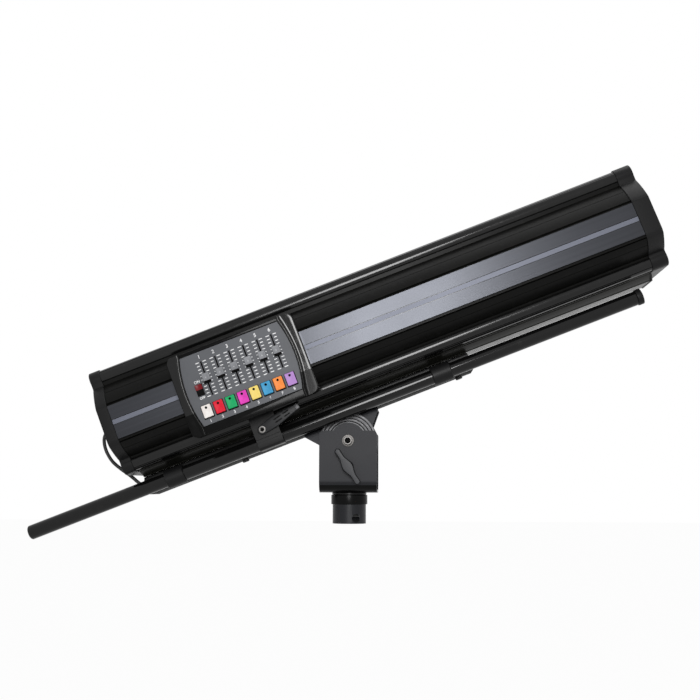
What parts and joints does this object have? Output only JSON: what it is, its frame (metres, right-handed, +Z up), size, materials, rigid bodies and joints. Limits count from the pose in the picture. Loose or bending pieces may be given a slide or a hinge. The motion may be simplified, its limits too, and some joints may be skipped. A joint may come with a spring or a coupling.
{
  "type": "followspot",
  "caption": "Long-barrelled followspot on a tilting yoke, with a slide and button console, sliding handle tube and a clamp lever.",
  "frame": {"origin": "centre of the lower end of the stand tube, on the pan axis", "axes": "+Z up along the pan axis, +X towards the lens end, -Y towards the console side; stored nose up by 21.2 degrees"},
  "size_m": [1.3304, 0.3288, 0.7789],
  "materials": {
    "satin_black_paint": "satin",
    "side_panel_paint": "satin",
    "cap_plastic": "matte",
    "yoke_paint": "satin",
    "tube_paint": "semi-gloss",
    "gloss_black": "gloss",
    "faceplate_grey": "satin",
    "knob_grey": "satin",
    "zinc": "zinc plated",
    "bright_steel": "bright",
    "bare_aluminium": "milled",
    "reflector_metal": "polished",
    "glass": "clear",
    "cable_rubber": "matte",
    "button_white": "satin",
    "button_red": "satin",
    "button_green": "satin",
    "button_magenta": "satin",
    "button_yellow": "satin",
    "button_blue": "satin",
    "button_orange": "satin",
    "button_violet": "satin"
  },
  "bodies": {
    "stand": {"stand_tube": "tube_paint", "stand_collar": "gloss_black"},
    "yoke": {"pan_spigot": "satin_black_paint", "yoke_bracket": "yoke_paint", "pivot_bolt": "bright_steel", "pivot_nut": "zinc", "spigot_nut": "zinc"},
    "wing_lever": {"wing_lever": "yoke_paint"},
    "bracket": {"tilt_bracket": "yoke_paint", "near_friction_disc": "bare_aluminium", "far_friction_disc": "bare_aluminium"},
    "head": {"rail_beam": "satin_black_paint", "rear_beam_bolt": "zinc", "front_beam_bolt": "zinc", "beam_plug": "cable_rubber", "rear_collar": "cap_plastic", "front_collar": "cap_plastic", "mid_clamp": "cap_plastic", "left_shell": "side_panel_paint", "right_shell": "side_panel_paint", "top_cover": "satin_black_paint", "bottom_tray": "satin_black_paint", "front_cap": "cap_plastic", "rear_cap": "cap_plastic", "lamp_plate": "bare_aluminium", "lens_frame": "bare_aluminium", "front_lens": "glass", "reflector": "reflector_metal", "lamp": "glass", "console_housing": "satin_black_paint", "console_faceplate": "faceplate_grey", "link_cable": "cable_rubber", "cable_gland": "cable_rubber"},
    "handle": {"handle_tube": "tube_paint", "handle_flange": "cap_plastic"},
    "clamp_lever": {"clamp_lever": "cap_plastic"},
    "fan": {"fan_rotor": "cap_plastic"},
    "colour_wheel": {"colour_wheel": "bare_aluminium"},
    "iris": {"iris_ring": "bare_aluminium"},
    "zoom": {"zoom_carriage": "bare_aluminium", "zoom_lens": "glass"},
    "focus": {"focus_carriage": "bare_aluminium", "focus_lens": "glass"},
    "lamp_rocker": {"lamp_rocker": "gloss_black"},
    "fader_1": {"fader_1": "knob_grey"},
    "fader_2": {"fader_2": "knob_grey"},
    "fader_3": {"fader_3": "knob_grey"},
    "fader_4": {"fader_4": "knob_grey"},
    "fader_5": {"fader_5": "knob_grey"},
    "fader_6": {"fader_6": "knob_grey"},
    "button_white": {"button_white": "button_white"},
    "button_red": {"button_red": "button_red"},
    "button_green": {"button_green": "button_green"},
    "button_magenta": {"button_magenta": "button_magenta"},
    "button_yellow": {"button_yellow": "button_yellow"},
    "button_blue": {"button_blue": "button_blue"},
    "button_orange": {"button_orange": "button_orange"},
    "button_violet": {"button_violet": "button_violet"}
  },
  "joints": [
    {"name": "pan", "type": "hinge", "parent": "stand", "child": "yoke", "pos_m": [0, 0, 0.05], "axis": [0, 0, 1], "continuous": true},
    {"name": "tilt", "type": "hinge", "parent": "yoke", "child": "bracket", "pos_m": [0, 0, 0.1727], "axis": [0, -1, 0], "range_deg": [-61, 38.5]},
    {"name": "balance_slide", "type": "slide", "parent": "bracket", "child": "head", "axis": [0.9323, 0, 0.3616], "range_m": [-0.14, 0.049]},
    {"name": "wing_lever_turn", "type": "hinge", "parent": "yoke", "child": "wing_lever", "pos_m": [0, -0.08, 0.1187], "axis": [0, 1, 0], "continuous": true},
    {"name": "handle_slide", "type": "slide", "parent": "head", "child": "handle", "axis": [0.9323, 0, 0.3616], "range_m": [-0.15, 0.1]},
    {"name": "clamp_lever_turn", "type": "hinge", "parent": "head", "child": "clamp_lever", "pos_m": [-0.1729, -0.1108, 0.19316], "axis": [0, 1, 0], "range_deg": [-10, 95]},
    {"name": "fan_spin", "type": "hinge", "parent": "head", "child": "fan", "pos_m": [-0.48631, 0.045, 0.20975], "axis": [0.9323, 0, 0.3616], "continuous": true},
    {"name": "colour_wheel_spin", "type": "hinge", "parent": "head", "child": "colour_wheel", "pos_m": [-0.22526, 0.05, 0.311], "axis": [0.9323, 0, 0.3616], "continuous": true},
    {"name": "iris_turn", "type": "hinge", "parent": "head", "child": "iris", "pos_m": [-0.20661, 0, 0.31823], "axis": [0.9323, 0, 0.3616], "range_deg": [-45, 45]},
    {"name": "zoom_slide", "type": "slide", "parent": "head", "child": "zoom", "axis": [0.9323, 0, 0.3616], "range_m": [-0.16, 0.1]},
    {"name": "focus_slide", "type": "slide", "parent": "head", "child": "focus", "axis": [0.9323, 0, 0.3616], "range_m": [-0.1, 0.2]},
    {"name": "lamp_rocker_tip", "type": "hinge", "parent": "head", "child": "lamp_rocker", "pos_m": [-0.29407, -0.1673, 0.26994], "axis": [-0.9323, 0, -0.3616], "range_deg": [0, 10]},
    {"name": "fader_1_slide", "type": "slide", "parent": "head", "child": "fader_1", "axis": [-0.3616, 0, 0.9323], "range_m": [-0.03, 0.03]},
    {"name": "fader_2_slide", "type": "slide", "parent": "head", "child": "fader_2", "axis": [-0.3616, 0, 0.9323], "range_m": [-0.03, 0.03]},
    {"name": "fader_3_slide", "type": "slide", "parent": "head", "child": "fader_3", "axis": [-0.3616, 0, 0.9323], "range_m": [-0.03, 0.03]},
    {"name": "fader_4_slide", "type": "slide", "parent": "head", "child": "fader_4", "axis": [-0.3616, 0, 0.9323], "range_m": [-0.03, 0.03]},
    {"name": "fader_5_slide", "type": "slide", "parent": "head", "child": "fader_5", "axis": [-0.3616, 0, 0.9323], "range_m": [-0.03, 0.03]},
    {"name": "fader_6_slide", "type": "slide", "parent": "head", "child": "fader_6", "axis": [-0.3616, 0, 0.9323], "range_m": [-0.03, 0.03]},
    {"name": "button_white_press", "type": "slide", "parent": "head", "child": "button_white", "axis": [0, 1, 0], "range_m": [0, 0.002], "stiffness_N_per_m": 300, "springref_m": -0.001},
    {"name": "button_red_press", "type": "slide", "parent": "head", "child": "button_red", "axis": [0, 1, 0], "range_m": [0, 0.002], "stiffness_N_per_m": 300, "springref_m": -0.001},
    {"name": "button_green_press", "type": "slide", "parent": "head", "child": "button_green", "axis": [0, 1, 0], "range_m": [0, 0.002], "stiffness_N_per_m": 300, "springref_m": -0.001},
    {"name": "button_magenta_press", "type": "slide", "parent": "head", "child": "button_magenta", "axis": [0, 1, 0], "range_m": [0, 0.002], "stiffness_N_per_m": 300, "springref_m": -0.001},
    {"name": "button_yellow_press", "type": "slide", "parent": "head", "child": "button_yellow", "axis": [0, 1, 0], "range_m": [0, 0.002], "stiffness_N_per_m": 300, "springref_m": -0.001},
    {"name": "button_blue_press", "type": "slide", "parent": "head", "child": "button_blue", "axis": [0, 1, 0], "range_m": [0, 0.002], "stiffness_N_per_m": 300, "springref_m": -0.001},
    {"name": "button_orange_press", "type": "slide", "parent": "head", "child": "button_orange", "axis": [0, 1, 0], "range_m": [0, 0.002], "stiffness_N_per_m": 300, "springref_m": -0.001},
    {"name": "button_violet_press", "type": "slide", "parent": "head", "child": "button_violet", "axis": [0, 1, 0], "range_m": [0, 0.002], "stiffness_N_per_m": 300, "springref_m": -0.001}
  ]
}
